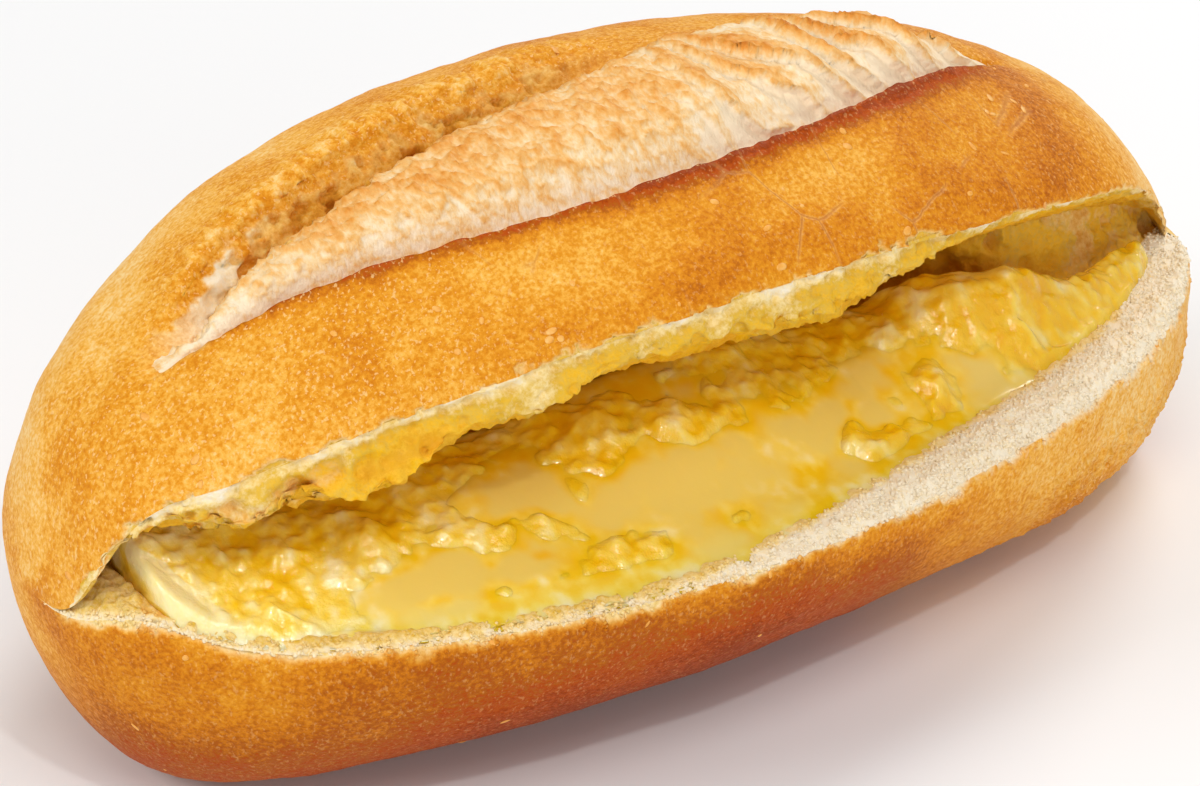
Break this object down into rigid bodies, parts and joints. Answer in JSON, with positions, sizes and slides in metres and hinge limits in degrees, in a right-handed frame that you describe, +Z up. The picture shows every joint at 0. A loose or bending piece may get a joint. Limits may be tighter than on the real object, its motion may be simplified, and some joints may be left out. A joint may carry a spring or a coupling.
{
  "type": "filled bread roll",
  "caption": "Oval crusty wheat roll slit along its front and propped open, spread with yellow butter and sweetened condensed milk.",
  "frame": {"origin": "on the surface the roll stands on, under the middle of its outline", "axes": "+X along the roll towards its right end, +Y towards the uncut back, +Z up; the mouth opens towards -Y"},
  "size_m": [0.14, 0.0718, 0.0621],
  "materials": {
    "bread": "baked crust over open crumb",
    "butter": "soft and lumpy with a greasy sheen",
    "condensed_milk": "smooth wet gloss"
  },
  "bodies": {
    "root": {"bread": "bread", "butter": "butter", "condensed_milk": "condensed_milk"}
  },
  "joints": []
}
